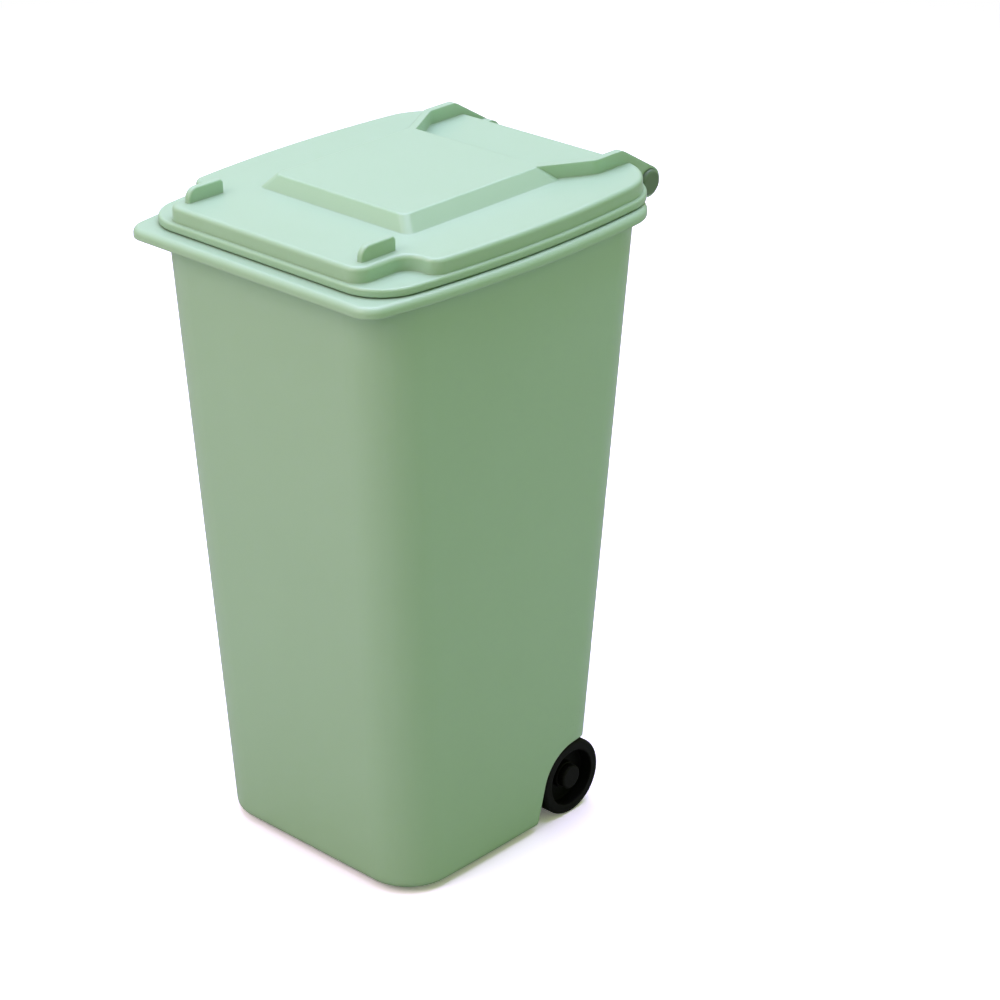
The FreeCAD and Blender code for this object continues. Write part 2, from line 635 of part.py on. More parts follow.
def rounded_rectangle(profile, half_width, front, rear, corner_radius):
    """A symmetric rectangle with four equal round corners."""
    wide, low, high, bend = (number(alias) for alias in (half_width, front, rear, corner_radius))
    front_end = point(wide - bend, low)
    right_start = point(wide, low + bend)
    right_end = point(wide, high - bend)
    rear_end = point(wide - bend, high)
    front_line = profile.line(mirror(front_end), front_end)
    corners = [profile.arc(point(wide - bend, low + bend), front_end, right_start)]
    right = profile.line(right_start, right_end)
    corners.append(profile.arc(point(wide - bend, high - bend), right_end, rear_end))
    rear_line = profile.line(rear_end, mirror(rear_end))
    corners.append(profile.arc(point(bend - wide, high - bend), mirror(rear_end), mirror(right_end)))
    profile.line(mirror(right_end), mirror(right_start))
    corners.append(profile.arc(point(bend - wide, low + bend), mirror(right_start), mirror(front_end)))
    profile.close()
    profile.mirrored_ends(front_line)
    profile.mirrored_ends(rear_line)
    profile.sketch.addConstraint(Sketcher.Constraint("Vertical", right))
    profile.place(right, START, across=half_width)
    profile.place(front_line, START, along=front)
    profile.place(rear_line, START, along=rear)
    for index in corners:
        profile.radius(index, corner_radius)


def new_body(label):
    body = doc.addObject("PartDesign::Body", label)
    body.Label = label
    return body


def pad(body, profile, length, name):
    feature = body.newObject("PartDesign::Pad", name)
    feature.Profile = profile.sketch
    feature.setExpression("Length", cell(length))
    return feature


def pocket(body, profile, length, name):
    """A cut of a named depth along the sketch's normal."""
    feature = body.newObject("PartDesign::Pocket", name)
    feature.Profile = profile.sketch
    feature.setExpression("Length", cell(length))
    feature.Reversed = True
    return feature


def loft(body, outlines, name, kind="PartDesign::AdditiveLoft"):
    feature = body.newObject(kind, name)
    feature.Profile = outlines[0].sketch
    feature.Sections = [outline.sketch for outline in outlines[1:]]
    return feature


def both_sides(body, features, name):
    """Repeats features on the other side of the middle plane."""
    feature = body.newObject("PartDesign::Mirrored", name)
    feature.Originals = features
    plane = next(item for item in body.Origin.OriginFeatures if item.Role == "YZ_Plane")
    feature.MirrorPlane = (plane, [""])
    body.Tip = feature
    return feature


def edges_where(feature, test):
    """Names of the edges of a feature's solid that pass a test."""
    return [f"Edge{index}" for index, edge in enumerate(feature.Shape.Edges, start=1) if test(edge)]


def round_edges(body, feature, test, radius, name):
    doc.recompute()
    rounding = body.newObject("PartDesign::Fillet", name)
    rounding.Base = (feature, edges_where(feature, test))
    rounding.setExpression("Radius", cell(radius))
    doc.recompute()
    return rounding


def reaches(shape, low, high):
    """Whether a face or edge runs from one height to another."""
    box = shape.BoundBox
    near = number("lid_gap") / 2
    return abs(box.ZMin - low) < near and abs(box.ZMax - high) < near


def level_at(height):
    """A test for edges that lie flat at a height."""
    return lambda edge: reaches(edge, height, height)


def build_cavity():
    """The space inside the tub, less the bumps round the wheel arches and the axle channel."""
    body = new_body("tub_cavity")
    lower = Profile(body, "XY_Plane", "cavity_floor", "floor_top")
    bowed_outline(lower, "inner_base_half_width", "inner_base_side", "side_centre",
                  "inner_base_front", "inner_base_rear", "inner_base_corner", "inner_base_corner")
    upper = Profile(body, "XY_Plane", "cavity_mouth", "rim_top")
    bowed_outline(upper, "inner_mouth_half_width", "inner_mouth_side", "side_centre",
                  "inner_mouth_front", "inner_mouth_rear", "inner_mouth_corner", "inner_mouth_corner")
    loft(body, [lower, upper], "cavity_space")
    bump = Profile(body, "YZ_Plane", "arch_bump_outline", "bump_inside")
    arch_outline(bump, "bump_radius", "bump_toe", "bump_exit_z")
    both_sides(body, [pocket(body, bump, "bump_depth", "arch_bump")], "arch_bumps")
    hump = Profile(body, "YZ_Plane", "channel_hump_outline")
    tunnel_outline(hump)
    pocket(body, hump, "overall_width", "channel_hump").SideType = "Symmetric"
    return body


def build_tub():
    """The tapered moulding: walls, rim, hinge lugs and grab bar, feet, wheel arches, axle channel."""
    body = new_body("tub")
    sole = Profile(body, "XY_Plane", "sole_outline", "base_lift")
    bowed_outline(sole, "base_sole_half_width", "base_sole_side", "side_centre",
                  "base_sole_front", "base_sole_rear", "base_sole_corner", "base_sole_corner")
    mid = Profile(body, "XY_Plane", "base_mid_outline", "base_mid")
    bowed_outline(mid, "base_mid_half_width", "base_mid_side", "side_centre",
                  "base_mid_front", "base_mid_rear", "base_mid_corner", "base_mid_corner")
    lower = Profile(body, "XY_Plane", "base_outline", "base_shoulder")
    bowed_outline(lower, "base_half_width", "base_side_radius", "side_centre",
                  "base_front", "base_rear", "base_corner_radius", "base_corner_radius")
    upper = Profile(body, "XY_Plane", "mouth_outline", "rim_bottom")
    bowed_outline(upper, "mouth_half_width", "mouth_side_radius", "side_centre",
                  "mouth_front", "mouth_rear", "mouth_corner_radius", "mouth_corner_radius")
    loft(body, [lower, upper], "walls")
    loft(body, [sole, mid, lower], "base_edge")
    rim_shape = Profile(body, "XY_Plane", "rim_outline", "rim_bottom")
    bowed_outline(rim_shape, "half_width", "rim_side_radius", "side_centre",
                  "rim_front", "rim_rear", "rim_front_radius", "rim_rear_radius")
    rim = pad(body, rim_shape, "rim_thickness", "rim")
    round_edges(body, rim, level_at(number("rim_top")), "rim_edge_radius", "rim_edge")
    lug_shape = Profile(body, "YZ_Plane", "lug_outline", "lug_inside")
    lug_outline(lug_shape)
    both_sides(body, [pad(body, lug_shape, "lug_thickness", "lug")], "lugs")
    bar_shape = Profile(body, "YZ_Plane", "bar_outline")
    bar_shape.circle("hinge_y", "hinge_z", "bar_radius")
    pad(body, bar_shape, "bar_length", "grab_bar").SideType = "Symmetric"
    feet_shape = Profile(body, "XY_Plane", "feet_outline")
    for side in ("foot_right", "foot_left"):
        feet_shape.circle(side, "foot_y", "foot_radius")
    pad(body, feet_shape, "foot_height", "feet")
    hollow = body.newObject("PartDesign::Boolean", "hollow")
    hollow.Type = "Cut"
    hollow.setObjects([build_cavity()])
    arch = Profile(body, "YZ_Plane", "arch_outline", "arch_inside")
    arch_outline(arch, "arch_radius", "arch_toe", "arch_exit_z")
    both_sides(body, [pocket(body, arch, "arch_depth", "arch")], "arches")
    channel = Profile(body, "YZ_Plane", "channel_outline")
    keyhole_outline(channel, "channel_radius", "throat_front", "throat_rear")
    pocket(body, channel, "overall_width", "axle_channel").SideType = "Symmetric"
    hole = Profile(body, "YZ_Plane", "pin_hole_outline", "pin_tip")
    hole.circle("hinge_y", "hinge_z", "pin_radius")
    both_sides(body, [pocket(body, hole, "pin_hole_depth", "pin_hole")], "pin_holes")
    return body


def rib_outline(profile):
    """A rib on the deck seen from the side: rounded more at its front end than at its rear end."""
    front, rear = number("rib_front"), number("rib_rear")
    foot, top = number("raised_foot"), number("overall_height")
    nose = point(number("rib_nose_y"), number("rib_nose_z"))
    tail = point(number("rib_tail_y"), number("rib_tail_z"))
    seat = profile.line(point(front, foot), point(rear, foot))
    profile.line(point(rear, foot), point(rear, tail.y))
    rear_bend = profile.arc(tail, point(rear, tail.y), point(tail.x, top))
    profile.line(point(tail.x, top), point(nose.x, top))
    front_bend = profile.arc(nose, point(nose.x, top), point(front, nose.y))
    brow = profile.line(point(front, nose.y), point(front, foot))
    profile.close(sharp=(seat, brow))
    profile.place(seat, START, "rib_front", "raised_foot")
    profile.place(seat, END, "rib_rear", "raised_foot")
    for bend, end in ((front_bend, "rib_nose"), (rear_bend, "rib_tail")):
        profile.place(bend, CENTRE, end + "_y", end + "_z")
        profile.radius(bend, end + "_radius")


def arm_outline(profile):
    """A hinge arm seen from above: a strip that flares out from the panel, bends, and runs straight back."""
    root = point(number("arm_root_x"), number("arm_root_y"))
    bow = point(number("arm_bend_x"), number("arm_bend_y"))
    rear = number("arm_crest_y")
    outside, inside = number("arm_outside"), number("arm_inside")
    touch = touch_point(root, bow, number("arm_bend_radius"), 1)
    inward = (bow - touch).normalize() * number("arm_thickness")
    outer = profile.line(root, touch)
    outer_bend = profile.arc(bow, touch, point(outside, bow.y))
    outer_run = profile.line(point(outside, bow.y), point(outside, rear))
    end = profile.line(point(outside, rear), point(inside, rear))
    inner_run = profile.line(point(inside, rear), point(inside, bow.y))
    inner_bend = profile.arc(bow, point(inside, bow.y), touch + inward, clockwise=True)
    inner = profile.line(touch + inward, root + inward)
    start = profile.line(root + inward, root)
    profile.close(sharp=(outer_run, end, inner, start))
    profile.place(outer, START, "arm_root_x", "arm_root_y")
    for bend, radius in ((outer_bend, "arm_bend_radius"), (inner_bend, "arm_inner_radius")):
        profile.place(bend, CENTRE, "arm_bend_x", "arm_bend_y")
        profile.radius(bend, radius)
    profile.place(end, START, along="arm_crest_y")
    profile.sketch.addConstraint(Sketcher.Constraint("Horizontal", end))
    for run in (outer_run, inner_run):
        profile.sketch.addConstraint(Sketcher.Constraint("Vertical", run))
    profile.sketch.addConstraint(Sketcher.Constraint("Parallel", outer, inner))
    profile.sketch.addConstraint(Sketcher.Constraint("Perpendicular", outer, start))


def build_lid():
    """The lid: flange, notched deck, raised panel, hollow underneath; ribs, hinge arms and knuckles."""
    body = new_body("lid")
    flange_shape = Profile(body, "XY_Plane", "flange_outline", "flange_bottom")
    bowed_outline(flange_shape, "flange_half_width", "flange_side_radius", "side_centre",
                  "flange_front", "flange_rear", "flange_front_radius", "flange_rear_radius")
    flange = pad(body, flange_shape, "flange_thickness", "flange")
    round_edges(body, flange, level_at(number("flange_top")), "flange_edge_radius", "flange_edge")
    deck_shape = Profile(body, "XY_Plane", "deck_outline", "flange_bottom")
    notched_outline(deck_shape)
    deck = pad(body, deck_shape, "deck_height", "deck")
    round_edges(body, deck, level_at(number("deck_top")), "deck_edge_radius", "deck_edge")
    lower = Profile(body, "XY_Plane", "panel_outline", "deck_top")
    rounded_rectangle(lower, "panel_half_width", "panel_front", "panel_rear", "panel_corner_radius")
    upper = Profile(body, "XY_Plane", "panel_top_outline", "overall_height")
    rounded_rectangle(upper, "panel_top_half_width", "panel_top_front", "panel_top_rear", "panel_corner_radius")
    panel = loft(body, [lower, upper], "panel")
    round_edges(body, panel, level_at(number("overall_height")), "panel_edge_radius", "panel_edge")
    add_fittings(body)
    hollow_out(body)
    add_bores(body)
    return body


def hollow_out(body):
    """Thins the lid from below, in three steps that follow the deck, its tongue and the panel."""
    under_deck = Profile(body, "XY_Plane", "hollow_outline", "flange_bottom")
    bowed_outline(under_deck, "hollow_half_width", "hollow_side_radius", "side_centre",
                  "hollow_front", "hollow_rear", "hollow_front_radius", "hollow_rear_radius")
    pocket(body, under_deck, "hollow_height", "deck_hollow")
    under_tongue = Profile(body, "XY_Plane", "tongue_hollow_outline", "flange_bottom")
    rounded_rectangle(under_tongue, "tongue_hollow_half_width", "tongue_hollow_front",
                      "tongue_hollow_rear", "tongue_hollow_radius")
    pocket(body, under_tongue, "hollow_height", "tongue_hollow")
    hollow_foot = Profile(body, "XY_Plane", "panel_hollow_outline", "panel_hollow_foot")
    rounded_rectangle(hollow_foot, "panel_hollow_half_width", "panel_hollow_front",
                      "panel_hollow_rear", "panel_hollow_radius")
    hollow_top = Profile(body, "XY_Plane", "panel_hollow_top_outline", "panel_hollow_top")
    rounded_rectangle(hollow_top, "panel_hollow_top_half_width", "panel_hollow_top_front",
                      "panel_hollow_top_rear", "panel_hollow_radius")
    loft(body, [hollow_foot, hollow_top], "panel_hollow", "PartDesign::SubtractiveLoft")


def add_fittings(body):
    """Ribs, hinge arms and knuckles on the right of the lid, repeated on the left."""
    rib_shape = Profile(body, "YZ_Plane", "rib_outline", "rib_inside")
    rib_outline(rib_shape)
    rib = pad(body, rib_shape, "rib_thickness", "rib")
    arm_shape = Profile(body, "XY_Plane", "arm_outline", "raised_foot")
    arm_outline(arm_shape)
    arm = pad(body, arm_shape, "raised_height", "arm")
    hook_shape = Profile(body, "YZ_Plane", "hook_outline", "arm_inside")
    hook_outline(hook_shape)
    hook = pad(body, hook_shape, "arm_thickness", "hook")
    knuckle_shape = Profile(body, "YZ_Plane", "knuckle_outline", "knuckle_inside")
    knuckle_shape.circle("hinge_y", "hinge_z", "knuckle_radius")
    knuckle = pad(body, knuckle_shape, "knuckle_length", "knuckle")
    fittings = both_sides(body, [rib, arm, hook, knuckle], "fittings")
    round_edges(body, fittings, upper_edge_of_rib, "rib_edge_radius", "rib_edges")


def upper_edge_of_rib(edge):
    box = edge.BoundBox
    return box.YMax < number("panel_front") and box.ZMin > number("deck_top") + number("lid_gap")


def add_bores(body):
    """The knuckles' bores, each with a seat for the pin's head."""
    bore_shape = Profile(body, "YZ_Plane", "bore_outline", "knuckle_inside")
    bore_shape.circle("hinge_y", "hinge_z", "pin_hole_radius")
    bore = pocket(body, bore_shape, "knuckle_length", "bore")
    seat_shape = Profile(body, "YZ_Plane", "seat_outline", "pin_seat_inside")
    seat_shape.circle("hinge_y", "hinge_z", "pin_seat_radius")
    seat = pocket(body, seat_shape, "knuckle_length", "seat")
    both_sides(body, [bore, seat], "bores")


def turned(label, corners):
    """A body turned about its own X axis from named corners, each a station along X and a radius."""
    body = new_body(label)
    shape = Profile(body, "XY_Plane", label + "_outline")
    shape.polygon(corners)
    turning = body.newObject("PartDesign::Revolution", label + "_turning")
    turning.Profile = shape.sketch
    axis = next(item for item in body.Origin.OriginFeatures if item.Role == "X_Axis")
    turning.ReferenceAxis = (axis, [""])
    return body, turning


def put_at(item, along, up):
    item.setExpression("Placement.Base.y", cell(along))
    item.setExpression("Placement.Base.z", cell(up))


def outer_rims(radius, stations):
    """A test for the circles of a radius at some stations along X."""
    near = number("lid_gap") / 2
    return lambda edge: (abs(edge.BoundBox.YMax - number(radius)) < near and edge.BoundBox.XLength < near
                         and any(abs(edge.BoundBox.XMin - number(station)) < near for station in stations))


def build_wheel(label):
    """A wheel: tread and hub joined by a web set back from both faces."""
    body, turning = turned(label, [
        ("wheel_hub_inside", "wheel_bore_radius"),
        ("wheel_hub_inside", "wheel_hub_radius"),
        ("wheel_web_inside", "wheel_hub_radius"),
        ("wheel_web_inside", "wheel_dish_radius"),
        ("wheel_inside", "wheel_dish_radius"),
        ("wheel_inside", "wheel_radius"),
        ("wheel_outside", "wheel_radius"),
        ("wheel_outside", "wheel_dish_radius"),
        ("wheel_web_outside", "wheel_dish_radius"),
        ("wheel_web_outside", "wheel_hub_radius"),
        ("wheel_hub_outside", "wheel_hub_radius"),
        ("wheel_hub_outside", "wheel_bore_radius"),
    ])
    doc.recompute()
    rims = outer_rims("wheel_radius", ("wheel_inside", "wheel_outside"))
    round_edges(body, turning, rims, "wheel_edge_radius", label + "_edges")
    put_at(body, "axle_y", "axle_z")
    return body


def pair(label, single):
    """A fastener and its mirror image on the other side, as one group of two solids."""
    other = doc.addObject("Part::Mirroring", label + "_mirrored")
    other.Source = single
    other.Normal = FreeCAD.Vector(1, 0, 0)
    group = doc.addObject("Part::Compound", label)
    group.Label = label
    group.Links = [single, other]
    return group


def build_pins():
    """Pins with domed heads, pressed into the lugs, on which the lid's knuckles turn."""
    body, turning = turned("hinge_pin", [
        ("pin_tip", "on_axis"),
        ("pin_tip", "pin_radius"),
        ("pin_head_inside", "pin_radius"),
        ("pin_head_inside", "pin_head_radius"),
        ("pin_crown", "pin_head_radius"),
        ("pin_crown", "on_axis"),
    ])
    doc.recompute()
    rim = outer_rims("pin_head_radius", ("pin_crown",))
    round_edges(body, turning, rim, "pin_head_edge_radius", "hinge_pin_edge")
    put_at(body, "hinge_y", "hinge_z")
    return pair("hinge_pins", body)


def build_caps():
    """Caps pushed on the ends of the axle."""
    body, turning = turned("axle_cap", [
        ("cap_inside", "axle_radius"),
        ("cap_inside", "cap_radius"),
        ("wheel_outside", "cap_radius"),
        ("wheel_outside", "on_axis"),
        ("axle_tip", "on_axis"),
        ("axle_tip", "axle_radius"),
    ])
    doc.recompute()
    rim = outer_rims("cap_radius", ("wheel_outside",))
    round_edges(body, turning, rim, "cap_edge_radius", "axle_cap_edge")
    put_at(body, "axle_y", "axle_z")
    return pair("axle_caps", body)


def build_axle():
    """A plain rod across the tub."""
    axle = doc.addObject("Part::Cylinder", "axle")
    axle.Label = "axle"
    axle.Placement.Rotation = FreeCAD.Rotation(FreeCAD.Vector(0, 0, 1), FreeCAD.Vector(1, 0, 0))
    axle.setExpression("Radius", cell("axle_radius"))
    axle.setExpression("Height", cell("axle_length"))
    axle.setExpression("Placement.Base.x", cell("axle_start"))
    put_at(axle, "axle_y", "axle_z")
    return axle


wheel_left = build_wheel("wheel_left")
wheel_left.Placement.Rotation = FreeCAD.Rotation(NORMAL, 180)
pieces = [
    build_tub(),
    build_lid(),
    build_wheel("wheel_right"),
    wheel_left,
    build_axle(),
    build_caps(),
    build_pins(),
]
doc.recompute()

faulty = [item.Name for item in doc.Objects if "Invalid" in item.State or "Error" in item.State]
if faulty:
    raise RuntimeError("not built: " + ", ".join(faulty))
os.makedirs("parts", exist_ok=True)
for piece in pieces:
    if piece.Shape.isNull() or not piece.Shape.isValid():
        raise RuntimeError("no valid solid: " + piece.Label)
    piece.Shape.exportStep(os.path.join("parts", piece.Label + ".step"))
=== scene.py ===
import math

import bpy
from bpy.props import FloatProperty, FloatVectorProperty, PointerProperty
from mathutils import Euler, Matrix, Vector


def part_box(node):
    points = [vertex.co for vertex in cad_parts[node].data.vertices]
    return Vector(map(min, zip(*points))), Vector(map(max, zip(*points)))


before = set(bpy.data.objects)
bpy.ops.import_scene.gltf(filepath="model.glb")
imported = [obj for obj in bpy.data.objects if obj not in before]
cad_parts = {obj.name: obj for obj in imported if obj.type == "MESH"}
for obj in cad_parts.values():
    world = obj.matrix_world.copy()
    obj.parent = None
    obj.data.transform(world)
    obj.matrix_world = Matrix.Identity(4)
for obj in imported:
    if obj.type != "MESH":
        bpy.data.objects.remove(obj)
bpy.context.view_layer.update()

bl_info = {
    "name": "Desk Bin",
    "version": (1, 0, 0),
    "blender": (4, 5, 0),
    "location": "3D View > Sidebar > Desk Bin",
    "description": "Dresses a small wheeled bin with a hinged lid, and lights it on a white floor",
    "category": "Object",
}

MILLIMETRE = 0.001

# Green plastic: shares of clouds and flow marks in the colour, of grain and pores in the relief
CLOUD_SHARE, FLOW_SHARE = 0.6, 0.4
GRAIN_SHARE, PORE_SHARE = 0.65, 0.35
FLOW_PER_CLOUD = 3
FLOW_STRETCH = (1.0, 1.0, 0.18)
PORE_PER_GRAIN = 3.4
GRAIN_ROUGHNESS, CLOUD_ROUGHNESS = 0.04, 0.08

# Black plastic: dust in the colour, rings and grain in the relief
DUST_PER_CLOUD = 4
DUST_DARK, DUST_LIGHT = 0.7, 1.6
DUST_ROUGHNESS = 0.65
RING_SHARE, WHEEL_GRAIN_SHARE = 0.3, 0.7
WHEEL_GRAIN_ROUGHNESS = 0.16

# Steel: lines drawn out along the rod, and stains
LINE_STRETCH = (0.02, 1.0, 1.0)
STAIN_PER_CLOUD = 5
LINE_SHARE, STAIN_SHARE = 0.6, 0.4
STEEL_DARK, STEEL_LIGHT = 0.8, 1.05
STEEL_ROUGHNESS, LINE_ROUGHNESS = 0.24, 0.16

# The middle of a noise's range, and how many rays find the edges and the crevices for the painted shade
MIDDLE = 0.5
EDGE_SAMPLES = 6
PAINTED_SHADE_SAMPLES = 6

# Camera: width of its sensor in millimetres, and the nearest distance that it sees
SENSOR_WIDTH = 36.0
NEAREST = 0.01


class Wire:
    """A value in a material's nodes. Arithmetic on it adds Math nodes."""

    def __init__(self, finish, socket):
        self.finish = finish
        self.socket = socket

    def combine(self, operation, first, second):
        return self.finish.node("ShaderNodeMath", {"operation": operation}, {0: first, 1: second})

    def __add__(self, other):
        return self.combine("ADD", self, other)

    def __radd__(self, other):
        return self.combine("ADD", other, self)

    def __sub__(self, other):
        return self.combine("SUBTRACT", self, other)

    def __rsub__(self, other):
        return self.combine("SUBTRACT", other, self)

    def __mul__(self, other):
        return self.combine("MULTIPLY", self, other)

    def __rmul__(self, other):
        return self.combine("MULTIPLY", other, self)


class Finish:
    """A material under construction: its nodes, their links and its output."""

    def __init__(self, name):
        self.material = bpy.data.materials.new(name)
        self.material.use_nodes = True
        self.tree = self.material.node_tree
        self.tree.nodes.clear()
        self.output = self.tree.nodes.new("ShaderNodeOutputMaterial")

    def feed(self, socket, value):
        if isinstance(value, Wire):
            self.tree.links.new(value.socket, socket)
        else:
            socket.default_value = value

    def node(self, kind, settings=None, inputs=None, output=0):
        """Adds a node, sets it, feeds its sockets, and gives back one of its outputs."""
        made = self.tree.nodes.new(kind)
        for name, value in (settings or {}).items():
            setattr(made, name, value)
        for name, value in (inputs or {}).items():
            self.feed(made.inputs[name], value)
        return Wire(self, made.outputs[output])

    def show(self, shader):
        self.feed(self.output.inputs["Surface"], shader)
        return self.material

    def place(self, stretch=(1.0, 1.0, 1.0)):
        """Where a point is on the piece, in metres, stretched along its axes."""
        place = self.node("ShaderNodeTexCoord", output="Object")
        if tuple(stretch) == (1.0, 1.0, 1.0):
            return place
        return self.node("ShaderNodeVectorMath", {"operation": "MULTIPLY"}, {0: place, 1: stretch})

    def speckle(self, size, place=None, detail=2.0, roughness=0.5):
        """Soft noise from 0 to 1 whose blots are about a given size across."""
        return self.node("ShaderNodeTexNoise", {"noise_dimensions": "3D"},
                         {"Vector": place or self.place(), "Scale": 1.0 / size,
                          "Detail": detail, "Roughness": roughness})

    def blend(self, first, second, share):
        """A colour between two, by a share from 0 to 1."""
        return self.node("ShaderNodeMix", {"data_type": "RGBA", "clamp_factor": True},
                         {"Factor": share, 6: first, 7: second}, output=2)

    def bump(self, height, depth, round_over):
        """A normal that follows a height, with every edge rounded over by a given radius."""
        edges = self.node("ShaderNodeBevel", {"samples": EDGE_SAMPLES}, {"Radius": round_over})
        return self.node("ShaderNodeBump", None, {"Height": height, "Distance": depth, "Normal": edges})


def tint(colour, factor):
    """A colour made lighter or darker, with full alpha."""
    return tuple(channel * factor for channel in colour[:3]) + (1.0,)


def grey(level):
    return (level, level, level, 1.0)


def moulded_plastic(name, colour, look):
    """Satin moulded plastic: a fine grain, faint flow marks and clouds, and painted shade that darkens the colour in
    crevices.
    """
    finish = Finish(name)
    cloud = finish.speckle(look.cloud_size, detail=3.0)
    flow = finish.speckle(look.cloud_size / FLOW_PER_CLOUD, finish.place(FLOW_STRETCH), detail=2.0)
    grain = finish.speckle(look.grain_size, detail=1.0)
    pores = finish.speckle(look.grain_size * PORE_PER_GRAIN, detail=2.0)
    share = cloud * CLOUD_SHARE + flow * FLOW_SHARE
    clean = finish.blend(tint(colour, 1.0 - look.clouding), tint(colour, 1.0 + look.clouding), share)
    # Painted shade: ambient occlusion darkens the base colour in crevices, under rims and between parts, where shade
    # falls.
    painted_shade_mask = finish.node("ShaderNodeAmbientOcclusion", {"samples": PAINTED_SHADE_SAMPLES},
                           {"Distance": look.painted_shade_reach}, "AO")
    shade = finish.blend(tint(colour, 1.0 - look.painted_crevice_shade), clean, painted_shade_mask)
    roughness = look.roughness + (grain - MIDDLE) * GRAIN_ROUGHNESS + (cloud - MIDDLE) * CLOUD_ROUGHNESS
    height = grain * GRAIN_SHARE + pores * PORE_SHARE
    return finish.show(finish.node("ShaderNodeBsdfPrincipled", None, {
        "Base Color": shade,
        "Roughness": roughness,
        "Normal": finish.bump(height, look.grain_depth, look.edge_round),
        "IOR": look.ior,
        "Subsurface Weight": look.translucence,
        "Subsurface Radius": (1.0, 1.0, 1.0),
        "Subsurface Scale": look.scatter_depth,
    }))


def turned_plastic(name, colour, look, axis_place):
    """Black moulded plastic with faint rings about the wheel's axis, left by the mould's turning."""
    finish = Finish(name)
    about = finish.node("ShaderNodeVectorMath", {"operation": "SUBTRACT"},
                        {0: finish.place(), 1: (0.0, axis_place[1], axis_place[2])})
    radial = finish.node("ShaderNodeVectorMath", {"operation": "MULTIPLY"}, {0: about, 1: (0.0, 1.0, 1.0)})
    reach = finish.node("ShaderNodeVectorMath", {"operation": "LENGTH"}, {0: radial}, output="Value")
    rings = finish.node("ShaderNodeMath", {"operation": "SINE"}, {0: reach * (2 * math.pi / look.ring_pitch)})
    grain = finish.speckle(look.grain_size, detail=1.5)
    dust = finish.speckle(look.cloud_size / DUST_PER_CLOUD, detail=4.0, roughness=DUST_ROUGHNESS)
    shade = finish.blend(tint(colour, DUST_DARK), tint(colour, DUST_LIGHT), dust)
    return finish.show(finish.node("ShaderNodeBsdfPrincipled", None, {
        "Base Color": shade,
        "Roughness": look.wheel_roughness + (grain - MIDDLE) * WHEEL_GRAIN_ROUGHNESS,
        "Normal": finish.bump(rings * RING_SHARE + grain * WHEEL_GRAIN_SHARE, look.grain_depth, look.edge_round),
        "IOR": look.ior,
        "Specular IOR Level": look.wheel_sheen,
    }))


def drawn_steel(name, colour, look):
    """A plain drawn rod: fine lines along it, and roughness that varies from line to line."""
    finish = Finish(name)
    lines = finish.speckle(look.grain_size, finish.place(LINE_STRETCH), detail=2.0)
    stains = finish.speckle(look.cloud_size / STAIN_PER_CLOUD, detail=4.0)
    shade = finish.blend(tint(colour, STEEL_DARK), tint(colour, STEEL_LIGHT),
                         lines * LINE_SHARE + stains * STAIN_SHARE)
    return finish.show(finish.node("ShaderNodeBsdfPrincipled", None, {
        "Base Color": shade,
        "Metallic": 1.0,
        "Roughness": STEEL_ROUGHNESS + lines * LINE_ROUGHNESS,
        "Normal": finish.bump(lines, look.grain_depth, look.edge_round),
    }))


class DeskBinColours(bpy.types.PropertyGroup):
    """Colours of the plastics and the rod"""

    green: FloatVectorProperty(
        name="Green plastic", description="Colour of the tub and the lid", subtype="COLOR", size=3,
        min=0.0, max=1.0, default=(0.42, 0.62, 0.46))
    # Painted shade: the pins' green is made darker still, to stand for the shade at the knuckle ends.
    pin_green: FloatVectorProperty(
        name="Pin plastic", description="Colour of the hinge pins", subtype="COLOR", size=3,
        min=0.0, max=1.0, default=(0.15, 0.23, 0.15))
    black: FloatVectorProperty(
        name="Black plastic", description="Colour of the wheels and the axle caps", subtype="COLOR", size=3,
        min=0.0, max=1.0, default=(0.0015, 0.0015, 0.0015))
    steel: FloatVectorProperty(
        name="Steel", description="Colour of the axle", subtype="COLOR", size=3,
        min=0.0, max=1.0, default=(0.55, 0.55, 0.56))


class DeskBinSurface(bpy.types.PropertyGroup):
    """How the surfaces are finished"""

    grain_size: FloatProperty(
        name="Grain size", description="Width of the grain etched in the mould", unit="LENGTH",
        default=0.45 * MILLIMETRE)
    grain_depth: FloatProperty(
        name="Grain depth", description="Height of the grain", unit="LENGTH", default=0.0015 * MILLIMETRE)
    cloud_size: FloatProperty(
        name="Cloud size", description="Width of the faint clouds in the colour", unit="LENGTH",
        default=28.0 * MILLIMETRE)
    clouding: FloatProperty(
        name="Clouding", description="How far the clouds change the colour", subtype="FACTOR", default=0.025)
    roughness: FloatProperty(
        name="Roughness", description="Roughness of the green plastic", subtype="FACTOR", default=0.3)
    # Painted shade: how far from a wall the darkening of the colour reaches.
    painted_shade_reach: FloatProperty(
        name="Crevice reach", description="How far a wall deepens the colour of what it stands on", unit="LENGTH",
        default=4.0 * MILLIMETRE)
    # Painted shade: how much the colour is darkened in the closest corners.
    painted_crevice_shade: FloatProperty(
        name="Crevice shade", description="How far the colour deepens in the closest corners", subtype="FACTOR",
        default=0.3)
    edge_round: FloatProperty(
        name="Edge round", description="Radius by which sharp edges look rounded over", unit="LENGTH",
        default=0.45 * MILLIMETRE)
    translucence: FloatProperty(
        name="Translucence", description="Share of the light that spreads inside the green plastic",
        subtype="FACTOR", default=0.3)
    scatter_depth: FloatProperty(
        name="Scatter depth", description="How far light spreads inside the green plastic", unit="LENGTH",
        default=1.2 * MILLIMETRE)
    wheel_roughness: FloatProperty(
        name="Wheel roughness", description="Roughness of the black plastic", subtype="FACTOR", default=0.6)
    wheel_sheen: FloatProperty(
        name="Wheel sheen", description="Strength of the reflection on the black plastic", subtype="FACTOR",
        default=0.15)
    ring_pitch: FloatProperty(
        name="Ring pitch", description="Distance between the faint rings on a wheel", unit="LENGTH",
        default=0.7 * MILLIMETRE)
    ior: FloatProperty(
        name="IOR", description="Index of refraction of the plastics", default=1.49)


